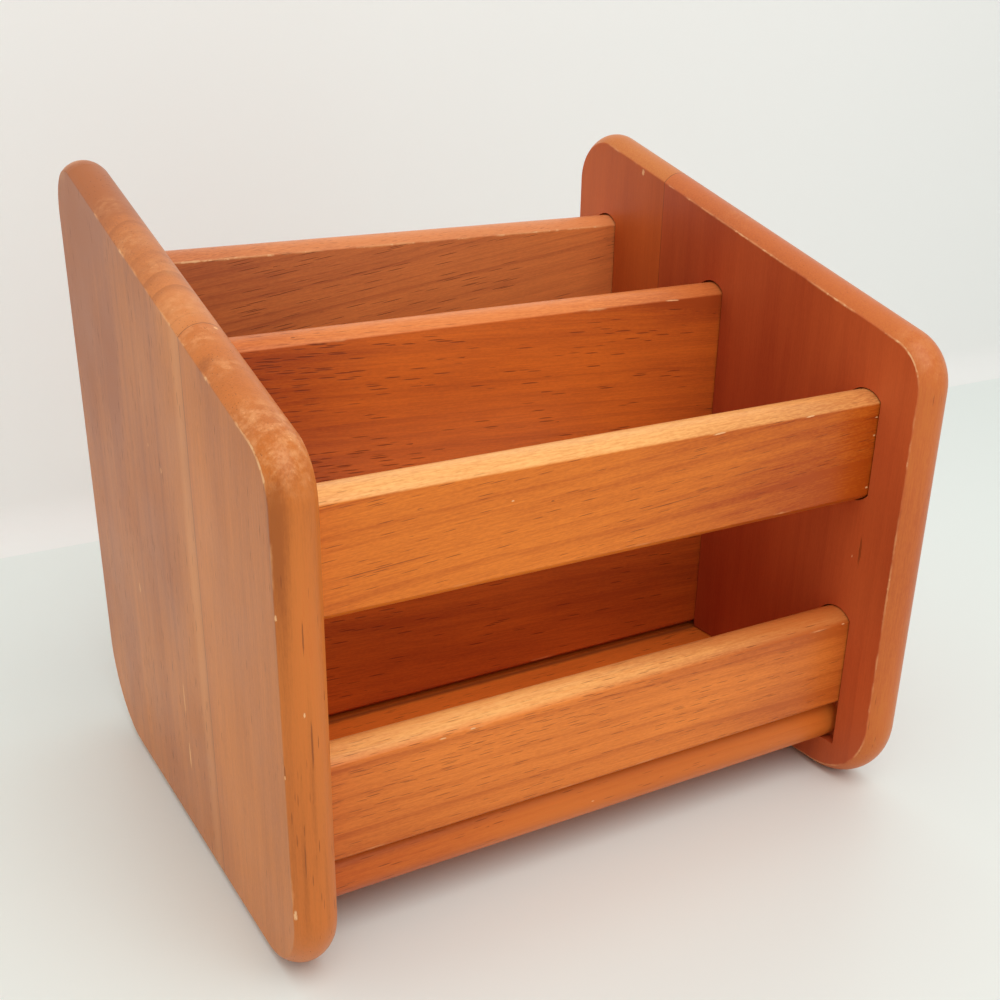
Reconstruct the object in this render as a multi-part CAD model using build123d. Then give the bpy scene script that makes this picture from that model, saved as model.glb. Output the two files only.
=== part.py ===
from build123d import *
import math
import os

# A two-compartment desk rack in solid wood: two crowned side panels, each edge-glued from two
# staves, carry five crosspieces whose ends are let into shallow stopped housings. Millimetres,
# +X to the right, the front faces -Y, +Z up, and the rack stands on Z = 0, centred in X and Y.

# Stock and how its edges are worked.
panel_thickness = 15.0
board_thickness = 15.0
panel_crown = 3.5            # how far a panel's edge bulges past its arrises
board_crown = 3.8            # the same on the rails and boards
arris_ease = 0.8             # sanding radius where a crown meets a face
foot_land = 4.0              # width of the flat sanded under each panel

# Across the rack.
interior_width = 232.0
housing_depth = 5.0
housing_clearance = 0.5      # all round a board's end in its housing
housing_headroom = 0.4       # further room over the divider's and the back board's ends

# From front to back.
front_set_back = 20.0        # panel's front edge to the rails' faces
front_compartment_depth = 77.0
rear_compartment_depth = 63.0
rear_set_back = 17.0         # back board to the panel's rear edge
base_set_in = 2.4            # base's long edges inside the rails' face and the back board's rear
left_front_stave_width = 73.5
right_front_stave_width = 155.0

# From the ground up.
base_lift = 16.1
rail_gap = 1.2               # base to the lower rail's crown
rail_height = 43.0
window_height = 46.5         # between the two rails
back_lower_stave_height = 80.0
slope_angle = 16.9           # of the panels' top edge, in degrees
rail_below_slope = 27.4      # each board's top, straight down from the sloping edge
divider_below_slope = 30.3
back_board_below_slope = 34.9

# Corner radii of the panels, at the top of the crown.
top_front_radius = 21.5
top_back_radius = 20.5
bottom_front_radius = 30.0
bottom_back_radius = 39.0

# Worked out from the sizes above.
panel_depth = (
    front_set_back + front_compartment_depth + rear_compartment_depth + rear_set_back
    + 3 * board_thickness
)
panel_front_y = -panel_depth / 2
panel_back_y = panel_depth / 2
rail_front_y = panel_front_y + front_set_back
divider_front_y = rail_front_y + board_thickness + front_compartment_depth
back_board_front_y = divider_front_y + board_thickness + rear_compartment_depth
divider_middle_y = divider_front_y + board_thickness / 2
back_board_middle_y = back_board_front_y + board_thickness / 2

base_top_z = base_lift + board_thickness
lower_rail_bottom_z = base_top_z + rail_gap
upper_rail_bottom_z = lower_rail_bottom_z + rail_height + window_height
upper_rail_top_z = upper_rail_bottom_z + rail_height
slope_rise = math.tan(math.radians(slope_angle))
rail_middle_y = rail_front_y + board_thickness / 2
panel_front_z = upper_rail_top_z + rail_below_slope - slope_rise * (rail_middle_y - panel_front_y)


def slope_z(y):
    """Height of the panels' sloping edge at a distance y."""
    return panel_front_z + slope_rise * (y - panel_front_y)


divider_top_z = slope_z(divider_middle_y) - divider_below_slope
back_board_top_z = slope_z(back_board_middle_y) - back_board_below_slope


def crown_radius(thickness, crown):
    """Radius of the arc that bulges by crown across a thickness."""
    return (thickness ** 2 / 4 + crown ** 2) / (2 * crown)


def board_section(width, thickness, crown, crowned_start=True, crowned_end=True):
    """Section of a board, centred, with its width along X and its arrises eased."""
    start_face = -width / 2 + (crown if crowned_start else 0)
    end_face = width / 2 - (crown if crowned_end else 0)
    half = thickness / 2
    if crowned_start:
        start_edge = ThreePointArc((start_face, half), (-width / 2, 0), (start_face, -half))
    else:
        start_edge = Line((start_face, half), (start_face, -half))
    if crowned_end:
        end_edge = ThreePointArc((end_face, -half), (width / 2, 0), (end_face, half))
    else:
        end_edge = Line((end_face, -half), (end_face, half))
    lower_face = Line((start_face, -half), (end_face, -half))
    upper_face = Line((end_face, half), (start_face, half))
    section = make_face([start_edge, lower_face, end_edge, upper_face])
    eased = section.vertices().filter_by(
        lambda corner: (crowned_end and corner.X > 0) or (crowned_start and corner.X < 0)
    )
    return fillet(eased, arris_ease)


def upright_section(front_y, bottom_z, top_z, clearance=0.0):
    """Section of a board on edge, placed in the Y-Z plane, grown by a clearance."""
    section = board_section(
        top_z - bottom_z + 2 * clearance, board_thickness + 2 * clearance, board_crown
    )
    centre = (front_y + board_thickness / 2, (bottom_z + top_z) / 2)
    return Plane.YZ * Pos(*centre) * Rot(0, 0, 90) * section


def slot_section(front_y, back_y, bottom_z, top_z):
    """A plain rectangle in the Y-Z plane."""
    centre = ((front_y + back_y) / 2, (bottom_z + top_z) / 2)
    return Plane.YZ * Pos(*centre) * Rectangle(back_y - front_y, top_z - bottom_z)


def across(section):
    """A section run across the rack, from one housing floor to the other."""
    return extrude(section, interior_width / 2 + housing_depth, both=True)


def rails():
    """The two rails across the front."""
    return {
        "lower_front_rail": across(upright_section(
            rail_front_y, lower_rail_bottom_z, lower_rail_bottom_z + rail_height)),
        "upper_front_rail": across(upright_section(
            rail_front_y, upper_rail_bottom_z, upper_rail_top_z)),
    }


def divider():
    """The board between the compartments, standing on the base."""
    return {"divider_board": across(upright_section(divider_front_y, base_top_z, divider_top_z))}


def back_board():
    """The back board, glued up from a lower and an upper stave."""
    board = across(upright_section(back_board_front_y, base_top_z, back_board_top_z))
    seam = Plane.XY.offset(base_top_z + back_lower_stave_height)
    return {
        "back_board_lower_stave": split(board, bisect_by=seam, keep=Keep.BOTTOM),
        "back_board_upper_stave": split(board, bisect_by=seam, keep=Keep.TOP),
    }


def base():
    """The base, glued up from two staves that meet under the divider."""
    front_y = rail_front_y + base_set_in
    rear_y = back_board_front_y + board_thickness - base_set_in
    staves = {
        "base_front_stave": (front_y, divider_middle_y, True, False),
        "base_rear_stave": (divider_middle_y, rear_y, False, True),
    }
    pieces = {}
    for name, (start_y, end_y, crowned_start, crowned_end) in staves.items():
        section = board_section(
            end_y - start_y, board_thickness, board_crown, crowned_start, crowned_end
        )
        centre = ((start_y + end_y) / 2, base_lift + board_thickness / 2)
        pieces[name] = across(Plane.YZ * Pos(*centre) * section)
    return pieces


def panel_outline():
    """A panel's outline at the top of its crown, in the Y-Z plane, with its corners rounded."""
    crown_arc = crown_radius(panel_thickness, panel_crown)
    sanded_off = crown_arc - math.sqrt(crown_arc ** 2 - foot_land ** 2 / 4)
    corners = {
        (panel_front_y, -sanded_off): bottom_front_radius,
        (panel_back_y, -sanded_off): bottom_back_radius,
        (panel_back_y, slope_z(panel_back_y)): top_back_radius,
        (panel_front_y, panel_front_z): top_front_radius,
    }
    outline = make_face(Polyline(*corners, close=True))
    for corner, radius in corners.items():
        nearest = outline.vertices().sort_by_distance(Vector(*corner))[0]
        outline = fillet(nearest, radius)
    return outline


def crowned_panel():
    """A side panel about X = 0: a flat core inside a crowned rim swept round the outline."""
    rim_width = 3 * panel_crown
    outline = panel_outline()
    core = extrude(Plane.YZ * offset(outline, -rim_width / 2), panel_thickness / 2, both=True)
    path = (Plane.YZ * outline).wire()
    start = Plane(origin=path @ 0, x_dir=path.tangent_at(0).cross(Vector(1, 0, 0)), z_dir=path % 0)
    rim_section = board_section(rim_width, panel_thickness, panel_crown, crowned_start=False)
    rim = sweep(start * Pos(-rim_width / 2, 0) * rim_section, path=path)
    below_ground = Pos(0, 0, -panel_thickness) * Box(
        2 * panel_thickness, 2 * panel_depth, 2 * panel_thickness
    )
    return core + rim - below_ground


def housings():
    """Everything routed out of the panels' inner faces, as one tool through the whole rack."""
    slack = housing_clearance
    foot_z = base_lift - slack
    standing = [
        (rail_front_y, lower_rail_bottom_z, lower_rail_bottom_z + rail_height),
        (divider_front_y, base_top_z, divider_top_z + housing_headroom),
        (back_board_front_y, base_top_z, back_board_top_z + housing_headroom),
    ]
    section = upright_section(rail_front_y, upper_rail_bottom_z, upper_rail_top_z, slack)
    section += slot_section(
        rail_front_y - slack, back_board_front_y + board_thickness + slack, foot_z,
        base_top_z + slack
    )
    for front_y, bottom_z, top_z in standing:
        section += upright_section(front_y, bottom_z, top_z, slack)
        section += slot_section(
            front_y - slack, front_y + board_thickness + slack, foot_z, (bottom_z + top_z) / 2
        )
    return across(section)


def side_panels():
    """Both side panels, each sawn at its glue seam into a front and a rear stave."""
    panel = crowned_panel()
    routed = housings()
    centre_x = (interior_width + panel_thickness) / 2
    sides = {
        "left": (-centre_x, left_front_stave_width),
        "right": (centre_x, right_front_stave_width),
    }
    pieces = {}
    for side, (x, front_stave_width) in sides.items():
        routed_panel = Pos(x, 0, 0) * panel - routed
        seam = Plane.XZ.offset(-(panel_front_y + front_stave_width))
        pieces[side + "_panel_front_stave"] = split(routed_panel, bisect_by=seam, keep=Keep.TOP)
        pieces[side + "_panel_rear_stave"] = split(routed_panel, bisect_by=seam, keep=Keep.BOTTOM)
    return pieces


os.makedirs("parts", exist_ok=True)
for build_group in (side_panels, rails, divider, back_board, base):
    for node, piece in build_group().items():
        export_step(piece, os.path.join("parts", node + ".step"))
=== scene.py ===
import math
from collections import namedtuple

import bpy
from mathutils import Matrix, Vector


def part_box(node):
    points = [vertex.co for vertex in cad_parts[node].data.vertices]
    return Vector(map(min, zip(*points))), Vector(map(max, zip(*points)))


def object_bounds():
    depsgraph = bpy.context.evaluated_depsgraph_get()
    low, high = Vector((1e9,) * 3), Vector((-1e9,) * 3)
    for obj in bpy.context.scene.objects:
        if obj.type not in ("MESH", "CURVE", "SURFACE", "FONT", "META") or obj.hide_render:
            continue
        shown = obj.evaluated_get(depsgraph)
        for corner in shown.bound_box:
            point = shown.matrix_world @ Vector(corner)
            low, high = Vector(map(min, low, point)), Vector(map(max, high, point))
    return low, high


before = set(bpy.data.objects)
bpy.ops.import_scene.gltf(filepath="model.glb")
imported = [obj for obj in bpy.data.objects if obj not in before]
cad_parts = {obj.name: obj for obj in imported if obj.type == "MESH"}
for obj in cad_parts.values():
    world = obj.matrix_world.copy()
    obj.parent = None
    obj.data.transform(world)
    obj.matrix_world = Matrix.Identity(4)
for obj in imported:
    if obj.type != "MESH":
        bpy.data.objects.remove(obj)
cad_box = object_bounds()

MM = 0.001

# How the rack's edges are worked.
STOCK_THICKNESS = 15 * MM
PANEL_CROWN = 3.5 * MM
BOARD_CROWN = 3.8 * MM
ARRIS_EASED = 0.4 * MM
FOOT_SANDED_OFF = 0.2 * MM
TOP_FRONT_RADIUS = 21.5 * MM
TOP_BACK_RADIUS = 20.5 * MM
BOTTOM_FRONT_RADIUS = 30 * MM
BOTTOM_BACK_RADIUS = 39 * MM

# Heart: where the pith of the tree lay. Lean: how far the grain turns from the piece's length, in
# degrees. Rings and the way they wander are in metres.
Log = namedtuple("Log", "heart lean ring_spacing wander seed")
# How much of the dark stain each part of the grain takes up.
Figure = namedtuple("Figure", "rings streaks fibres patches")
Pores = namedtuple("Pores", "spacing length fineness share")
Stain = namedtuple("Stain", "light dark")
# The tone of a crowned edge, and how far it covers what the grain took up. Where it is paler than
# the stain it is partly thinner stain on the sanded round-over and partly a painted highlight, the
# sheen of light from above.
Crown = namedtuple("Crown", "colour share")
# The plane of a dark line: the glued joint between a side panel's staves, and painted shade at the
# divider's foot, on the divider and on the base. Its normal, and how far it lies from the origin.
Seam = namedtuple("Seam", "axis offset")
# One place on a stave: its centre, and its size across and along the grain.
Mark = namedtuple("Mark", "centre width length")
# A soft-edged place where the wood has taken up more of the dark stain, or less if the amount is
# below 0, or where hands have rubbed it. Some dark patches are painted shade, and some light ones
# are painted light; each is noted where it is listed.
Patch = namedtuple("Patch", "centre width length amount")

# Parts of a year's growth: where the late wood starts, where it is full and where it ends.
LATE_WOOD_STARTS = 0.4
LATE_WOOD_FULL = 0.92
LATE_WOOD_ENDS = 0.94

# How large the grain's lumps are, across the grain and along it.
RING_DRIFT_SIZE = (40 * MM, 220 * MM)
STREAK_SIZE = (5 * MM, 160 * MM)
FIBRE_SIZE = (0.6 * MM, 14 * MM)
FLECK_SIZE = (0.5 * MM, 2.2 * MM)
STAIN_PATCH_SIZE = (38 * MM, 90 * MM)
PORE_DRIFT_SIZE = (10 * MM, 70 * MM)

# How large the lumps of wear, of glue lines and painted shade lines, and of lacquer are.
RAGGED_EDGE_SIZE = 2.2 * MM
WORN_STRETCH_SIZE = 22 * MM
NICK_SIZE = 4.5 * MM
RUBBED_CLOUD_SIZE = 3.5 * MM
RUBBED_SPECK_SIZE = 1.1 * MM
GLUE_AND_SHADE_LINE_LUMP_SIZE = 9 * MM
GLOSS_PATCH_SIZE = 30 * MM
ORANGE_PEEL_SIZE = 2.2 * MM

# How much the flecks add to the fibres.
FLECKS_IN_FIBRES = 0.7
# How far noise moves for each step of a seed, in metres and in years.
SEED_STEP = (3.7, 7.1, 11.3)
SEED_YEARS = 17.0

# Where noise starts to count as a drift of pores, a rubbed cloud or a rubbed speck, and where it
# counts in full.
PORE_DRIFT = (0.38, 0.66)
RUBBED_CLOUD = (0.36, 0.68)
RUBBED_SPECK = (0.62, 0.78)

# A pore is full inside this part of its width, and the faintest one has this part of the depth.
PORE_CORE = 0.6
FAINTEST_PORE = 0.35

# Where noise starts to count as wear on an arris, how much sooner with handling, and over how much
# noise the wear fades in.
WEAR_STARTS = 0.72
WEAR_SOONER = 0.4
WEAR_FADE = 0.18
# The same for nicks down to bare wood, counted from where the wear starts, and the parts of the
# worn band that they lie in.
NICKS_START = 0.14
NICKS_FULL = 0.2
NICKS_BAND = (0.6, 0.3)

# How far a crown's own tone gives way to dark patches and to fibres, and how far it hides pores.
CROWN_YIELDS_TO_PATCHES = 0.7
CROWN_YIELDS_TO_FIBRES = 0.5
CROWN_HIDES_PORES = 0.7

# How strongly these show in the colour: 1 would cover the stain.
PORE_SHARE = 0.8
RUB_SHARE = 0.6
DARK_STREAK_SHARE = 0.7
GLUE_AND_SHADE_LINE_SHARE = 0.8

PORE_COLOUR = (0.13, 0.018, 0.004, 1)
RUBBED_COLOUR = (0.90, 0.44, 0.18, 1)
BARE_COLOUR = (0.88, 0.50, 0.24, 1)
SAPWOOD_COLOUR = (0.88, 0.43, 0.19, 1)
DARK_STREAK_COLOUR = (0.24, 0.055, 0.012, 1)
GLUE_AND_SHADE_LINE_COLOUR = (0.22, 0.045, 0.012, 1)

LACQUER_ROUGHNESS = 0.36
LACQUER_IOR = 1.45
LACQUER_SPECULAR = 0.3
GLOSS_PATCH_ROUGHNESS = 0.14
PORE_ROUGHNESS = 0.15
BARE_ROUGHNESS = 0.25
# The relief's full height, and the parts of it that stand up or sink in.
RELIEF_HEIGHT = 0.06 * MM
ORANGE_PEEL_RELIEF = 0.25
FIBRE_RELIEF = 0.2
PORE_RELIEF = -0.8
BARE_RELIEF = -0.8


# --- Node trees -----------------------------------------------------------------------------

class Nodes:
    """Places and joins the nodes of one material or node group."""

    def __init__(self, tree):
        self.tree = tree

    def add(self, kind, **settings):
        node = self.tree.nodes.new(kind)
        for name, value in settings.items():
            setattr(node, name, value)
        return node

    def feed(self, socket, value):
        """Joins a socket to another one, or gives it a plain value."""
        if isinstance(value, bpy.types.NodeSocket):
            self.tree.links.new(value, socket)
        else:
            socket.default_value = value

    def feed_all(self, node, values):
        for name, value in values.items():
            self.feed(node.inputs[name], value)
        return node

    def math(self, operation, *values):
        node = self.add("ShaderNodeMath", operation=operation)
        for socket, value in zip(node.inputs, values):
            self.feed(socket, value)
        return node.outputs["Value"]

    def total(self, first, *others):
        for other in others:
            first = self.math("ADD", first, other)
        return first

    def vector(self, operation, *values):
        node = self.add("ShaderNodeVectorMath", operation=operation)
        for socket, value in zip(node.inputs, values):
            self.feed(socket, value)
        one_number = operation in ("DOT_PRODUCT", "LENGTH", "DISTANCE")
        return node.outputs["Value" if one_number else "Vector"]

    def scaled(self, place, factor):
        node = self.add("ShaderNodeVectorMath", operation="SCALE")
        self.feed_all(node, {"Vector": place, "Scale": factor})
        return node.outputs["Vector"]

    def joined(self, x=0.0, y=0.0, z=0.0):
        node = self.add("ShaderNodeCombineXYZ")
        self.feed_all(node, {"X": x, "Y": y, "Z": z})
        return node.outputs["Vector"]

    def parts(self, place):
        node = self.add("ShaderNodeSeparateXYZ")
        self.feed(node.inputs["Vector"], place)
        return node.outputs["X"], node.outputs["Y"], node.outputs["Z"]

    def fade(self, value, start, end):
        """0 where value is at start and 1 at end, smoothly between them."""
        node = self.add("ShaderNodeMapRange", interpolation_type="SMOOTHSTEP")
        self.feed_all(node, {"Value": value, "From Min": start, "From Max": end})
        return node.outputs["Result"]

    def spread(self, noise, half_range):
        """Noise that gathers round 0.5, spread from 0 to 1."""
        return self.fade(noise, 0.5 - half_range, 0.5 + half_range)

    def noise(self, place, detail=0.0, roughness=0.5):
        """Noise from 0 to 1 whose lumps are about one unit across."""
        node = self.add("ShaderNodeTexNoise")
        self.feed_all(node, {
            "Vector": place, "Scale": 1.0, "Detail": detail, "Roughness": roughness})
        return node.outputs["Fac"]

    def blend(self, share, first, second):
        """A colour between two, by share."""
        node = self.add("ShaderNodeMix", data_type="RGBA")
        colours = [socket for socket in node.inputs if socket.type == "RGBA"]
        self.feed(node.inputs["Factor"], share)
        self.feed(colours[0], first)
        self.feed(colours[1], second)
        return next(socket for socket in node.outputs if socket.type == "RGBA")

    def use(self, group, **values):
        """Places a group and gives its inputs, with _ for each space. Returns its outputs."""
        node = self.add("ShaderNodeGroup", node_tree=group)
        self.feed_all(node, {name.replace("_", " "): value for name, value in values.items()})
        return node.outputs


SOCKET_KINDS = {
    "number": "NodeSocketFloat", "place": "NodeSocketVector", "colour": "NodeSocketColor"}


def new_group(name, inputs, outputs):
    """An empty node group: its nodes, its given inputs and the results it has to feed."""
    group = bpy.data.node_groups.new(name, "ShaderNodeTree")
    for direction, sockets in (("INPUT", inputs), ("OUTPUT", outputs)):
        for socket_name, kind in sockets.items():
            group.interface.new_socket(
                socket_name, in_out=direction, socket_type=SOCKET_KINDS[kind])
    nodes = Nodes(group)
    given = nodes.add("NodeGroupInput").outputs
    results = nodes.add("NodeGroupOutput").inputs
    return nodes, given, results


def seeded(nodes, place, seed):
    """A place moved by its seed, so that each piece has its own noise."""
    return nodes.vector("ADD", place, nodes.scaled(SEED_STEP, seed))


def streaky_noise(nodes, log_place, size, detail, roughness=0.5):
    """Noise in streaks along the grain, whose size is given across it and along it."""
    across, along = size
    scaled = nodes.vector("MULTIPLY", log_place, (1 / across, 1 / across, 1 / along))
    return nodes.noise(scaled, detail, roughness)


def lumpy_noise(nodes, place, size, detail=0.0, roughness=0.5):
    """Noise with round lumps of a size."""
    return nodes.noise(nodes.scaled(place, 1 / size), detail, roughness)


# --- Wood: rings, streaks and pores -----------------------------------------------------------

def sawn_grain_group():
    """Growth rings, streaks and fibres of a stave, by its place in the log it was sawn from."""
    nodes, given, results = new_group(
        "Sawn grain",
        {"Log Place": "place", "Ring Spacing": "number", "Wander": "number", "Seed": "number"},
        {"Late Wood": "number", "Streak": "number", "Fibre": "number", "Patch": "number"},
    )
    place = seeded(nodes, given["Log Place"], given["Seed"])
    from_heart = nodes.vector("LENGTH", nodes.vector("MULTIPLY", given["Log Place"], (1, 1, 0)))
    drift = streaky_noise(nodes, place, RING_DRIFT_SIZE, detail=1.5)
    drift = nodes.math("MULTIPLY", nodes.math("SUBTRACT", drift, 0.5), given["Wander"])
    ring = nodes.math("DIVIDE", nodes.math("ADD", from_heart, drift), given["Ring Spacing"])
    year = nodes.add("ShaderNodeTexNoise", noise_dimensions="1D")
    nodes.feed_all(year, {
        "W": nodes.math("MULTIPLY_ADD", given["Seed"], SEED_YEARS, ring), "Scale": 0.8,
        "Detail": 1.0})
    grown = nodes.math("FRACT", ring)
    thickening = nodes.fade(grown, LATE_WOOD_STARTS, LATE_WOOD_FULL)
    ending = nodes.fade(grown, 1.0, LATE_WOOD_ENDS)
    late = nodes.math("MULTIPLY", thickening, ending)
    late = nodes.math("MULTIPLY", late, nodes.spread(year.outputs["Fac"], 0.2))
    streak = streaky_noise(nodes, place, STREAK_SIZE, detail=3.0, roughness=0.55)
    fibre = streaky_noise(nodes, place, FIBRE_SIZE, detail=2.5, roughness=0.65)
    fleck = streaky_noise(nodes, place, FLECK_SIZE, detail=1.5, roughness=0.6)
    fleck = nodes.math("MULTIPLY", nodes.math("SUBTRACT", fleck, 0.5), FLECKS_IN_FIBRES)
    fibre = nodes.math("ADD", fibre, fleck)
    stain_patch = streaky_noise(nodes, place, STAIN_PATCH_SIZE, detail=1.0)
    nodes.feed(results["Late Wood"], late)
    nodes.feed(results["Streak"], nodes.spread(streak, 0.22))
    nodes.feed(results["Fibre"], nodes.spread(fibre, 0.25))
    nodes.feed(results["Patch"], nodes.spread(stain_patch, 0.22))
    return nodes.tree


def open_pores_group():
    """Short dark pores that lie along the grain and gather in drifts."""
    nodes, given, results = new_group(
        "Open pores",
        {"Log Place": "place", "Spacing": "number", "Length": "number", "Fineness": "number",
         "Share": "number", "Opened": "number", "Seed": "number"},
        {"Pore": "number"},
    )
    place = seeded(nodes, given["Log Place"], given["Seed"])
    across = nodes.math("DIVIDE", 1.0, given["Spacing"])
    along = nodes.math("DIVIDE", 1.0, given["Length"])
    cells = nodes.add("ShaderNodeTexVoronoi")
    nodes.feed_all(cells, {
        "Vector": nodes.vector("MULTIPLY", place, nodes.joined(across, across, along)),
        "Scale": 1.0})
    core = nodes.math("MULTIPLY", given["Fineness"], PORE_CORE)
    inside = nodes.fade(cells.outputs["Distance"], given["Fineness"], core)
    drift = streaky_noise(nodes, place, PORE_DRIFT_SIZE, detail=1.0)
    drift = nodes.fade(drift, *PORE_DRIFT)
    chance, openness, _ = nodes.parts(cells.outputs["Color"])
    likely = nodes.math("MULTIPLY_ADD", drift, given["Share"], given["Opened"])
    kept = nodes.math("LESS_THAN", chance, likely)
    depth = nodes.math("MULTIPLY_ADD", openness, 1 - FAINTEST_PORE, FAINTEST_PORE)
    pore = nodes.math("MULTIPLY", nodes.math("MULTIPLY", inside, kept), depth)
    nodes.feed(results["Pore"], pore)
    return nodes.tree


def stain_group():
    """The stain's colour: darker where the grain takes up more of it, and where painted shade is
    added to the uptake.
    """
    nodes, given, results = new_group(
        "Wood stain",
        {"Late Wood": "number", "Streak": "number", "Fibre": "number", "Patch": "number",
         "Ring Uptake": "number", "Streak Uptake": "number", "Fibre Uptake": "number",
         "Patch Uptake": "number", "Extra Uptake": "number", "Light Stain": "colour",
         "Dark Stain": "colour"},
        {"Colour": "colour"},
    )
    taken = nodes.total(
        nodes.math("MULTIPLY", given["Late Wood"], given["Ring Uptake"]),
        nodes.math("MULTIPLY", given["Streak"], given["Streak Uptake"]),
        nodes.math("MULTIPLY", given["Fibre"], given["Fibre Uptake"]),
        nodes.math("MULTIPLY", given["Patch"], given["Patch Uptake"]),
        given["Extra Uptake"],
    )
    nodes.feed(
        results["Colour"], nodes.blend(taken, given["Light Stain"], given["Dark Stain"]))
    return nodes.tree


# --- Edges: where the arrises run and how they have worn --------------------------------------

def panel_edges():
    """The panels' four edges as (outward normal, offset) in the Y-Z plane, counter-clockwise."""
    left_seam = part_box("left_panel_front_stave")[1]
    right_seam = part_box("right_panel_front_stave")[1]
    slope = math.atan2(right_seam.z - left_seam.z, right_seam.y - left_seam.y)
    slope_normal = Vector((-math.sin(slope), math.cos(slope)))
    return [
        (Vector((0, -1)), FOOT_SANDED_OFF),
        (Vector((1, 0)), cad_box[1].y),
        (slope_normal, slope_normal.dot(Vector((left_seam.y, left_seam.z)))),
        (Vector((-1, 0)), -cad_box[0].y),
    ]


def corner_centre(edge, next_edge, radius):
    """Where the arc that rounds the corner between two edges has its centre."""
    normal, offset = edge
    next_normal, next_offset = next_edge
    inset = offset - radius
    next_inset = next_offset - radius
    turn = normal.x * next_normal.y - normal.y * next_normal.x
    return Vector((
        (inset * next_normal.y - next_inset * normal.y) / turn,
        (next_inset * normal.x - inset * next_normal.x) / turn,
    ))


def in_section(across, up):
    """A direction or point of the Y-Z plane as an X, Y, Z vector."""
    return (0.0, across, up)


def panel_edge_group():
    """How deep a point lies inside the side panels' rounded outline, and how far it is from the
    nearest arris of its panel."""
    nodes, given, results = new_group(
        "Panel edge", {"Place": "place"}, {"Past Arris": "number", "Arris Distance": "number"})
    edges = panel_edges()
    section_place = nodes.vector("MULTIPLY", given["Place"], (0, 1, 1))
    depth = 1.0
    for normal, offset in edges:
        reach = nodes.vector("DOT_PRODUCT", section_place, in_section(normal.x, normal.y))
        depth = nodes.math("MINIMUM", depth, nodes.math("SUBTRACT", offset, reach))
    radii = (BOTTOM_BACK_RADIUS, TOP_BACK_RADIUS, TOP_FRONT_RADIUS, BOTTOM_FRONT_RADIUS)
    for edge, next_edge, radius in zip(edges, edges[1:] + edges[:1], radii):
        centre = corner_centre(edge, next_edge, radius)
        from_centre = nodes.vector("SUBTRACT", section_place, in_section(centre.x, centre.y))
        past_edge = nodes.vector(
            "DOT_PRODUCT", from_centre, in_section(-edge[0].y, edge[0].x))
        past_next = nodes.vector(
            "DOT_PRODUCT", from_centre, in_section(next_edge[0].y, -next_edge[0].x))
        in_corner = nodes.math("GREATER_THAN", nodes.math("MINIMUM", past_edge, past_next), 0.0)
        round_depth = nodes.math("SUBTRACT", radius, nodes.vector("LENGTH", from_centre))
        change = nodes.math("SUBTRACT", round_depth, depth)
        depth = nodes.math("MULTIPLY_ADD", change, in_corner, depth)
    nodes.feed(results["Past Arris"], nodes.math("SUBTRACT", PANEL_CROWN, depth))

    panel_middle_x = cad_box[1].x - STOCK_THICKNESS / 2
    place_x = nodes.parts(given["Place"])[0]
    from_middle = nodes.math("SUBTRACT", nodes.math("ABSOLUTE", place_x), panel_middle_x)
    past_face = nodes.math("SUBTRACT", nodes.math("ABSOLUTE", from_middle), STOCK_THICKNESS / 2)
    past_crown = nodes.math("SUBTRACT", depth, PANEL_CROWN)
    nodes.feed(
        results["Arris Distance"], nodes.vector("LENGTH", nodes.joined(past_face, past_crown)))
    return nodes.tree


def board_edge_group():
    """How far a point is from the nearest arris of a board that runs along X, and how far it lies
    past the arrises on the crown."""
    nodes, given, results = new_group(
        "Board edge",
        {"Place": "place", "Middle": "place", "Half Section": "place", "To Crown": "place"},
        {"Arris Distance": "number", "Past Arris": "number"})
    from_middle = nodes.vector("SUBTRACT", given["Place"], given["Middle"])
    past = nodes.vector(
        "SUBTRACT", nodes.vector("ABSOLUTE", from_middle), given["Half Section"])
    in_plane = nodes.vector("MULTIPLY", past, (0, 1, 1))
    nodes.feed(results["Arris Distance"], nodes.vector("LENGTH", in_plane))
    towards = nodes.vector("DOT_PRODUCT", from_middle, given["To Crown"])
    starts = nodes.vector(
        "DOT_PRODUCT", given["Half Section"], nodes.vector("ABSOLUTE", given["To Crown"]))
    nodes.feed(results["Past Arris"], nodes.math("SUBTRACT", towards, starts))
    return nodes.tree


def rubbed_arris_group():
    """Where handling has paled the stain along an arris, and where it is down to bare wood."""
    nodes, given, results = new_group(
        "Rubbed arris",
        {"Place": "place", "Arris Distance": "number", "Width": "number", "Share": "number",
         "Seed": "number"},
        {"Rub": "number", "Bare": "number"},
    )
    place = seeded(nodes, given["Place"], given["Seed"])
    ragged = lumpy_noise(nodes, place, RAGGED_EDGE_SIZE, detail=2.0)
    reach = nodes.math("MULTIPLY", given["Width"], nodes.math("MULTIPLY_ADD", ragged, 2.0, 0.1))
    band = nodes.fade(given["Arris Distance"], reach, 0.0)
    stretches = lumpy_noise(nodes, place, WORN_STRETCH_SIZE, detail=3.0, roughness=0.6)
    sooner = nodes.math("MULTIPLY", given["Share"], WEAR_SOONER)
    wear_starts = nodes.math("SUBTRACT", WEAR_STARTS, sooner)
    worn = nodes.fade(stretches, wear_starts, nodes.math("ADD", wear_starts, WEAR_FADE))
    nodes.feed(results["Rub"], nodes.math("MULTIPLY", band, worn))
    nicks = lumpy_noise(nodes, place, NICK_SIZE, detail=2.0, roughness=0.65)
    nicked = nodes.fade(
        nicks, nodes.math("ADD", wear_starts, NICKS_START),
        nodes.math("ADD", wear_starts, NICKS_FULL))
    outer, inner = [nodes.math("MULTIPLY", reach, part) for part in NICKS_BAND]
    core = nodes.fade(given["Arris Distance"], outer, inner)
    bare = nodes.math("MULTIPLY", nodes.math("MULTIPLY", nicked, core), worn)
    nodes.feed(results["Bare"], bare)
    return nodes.tree


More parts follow.
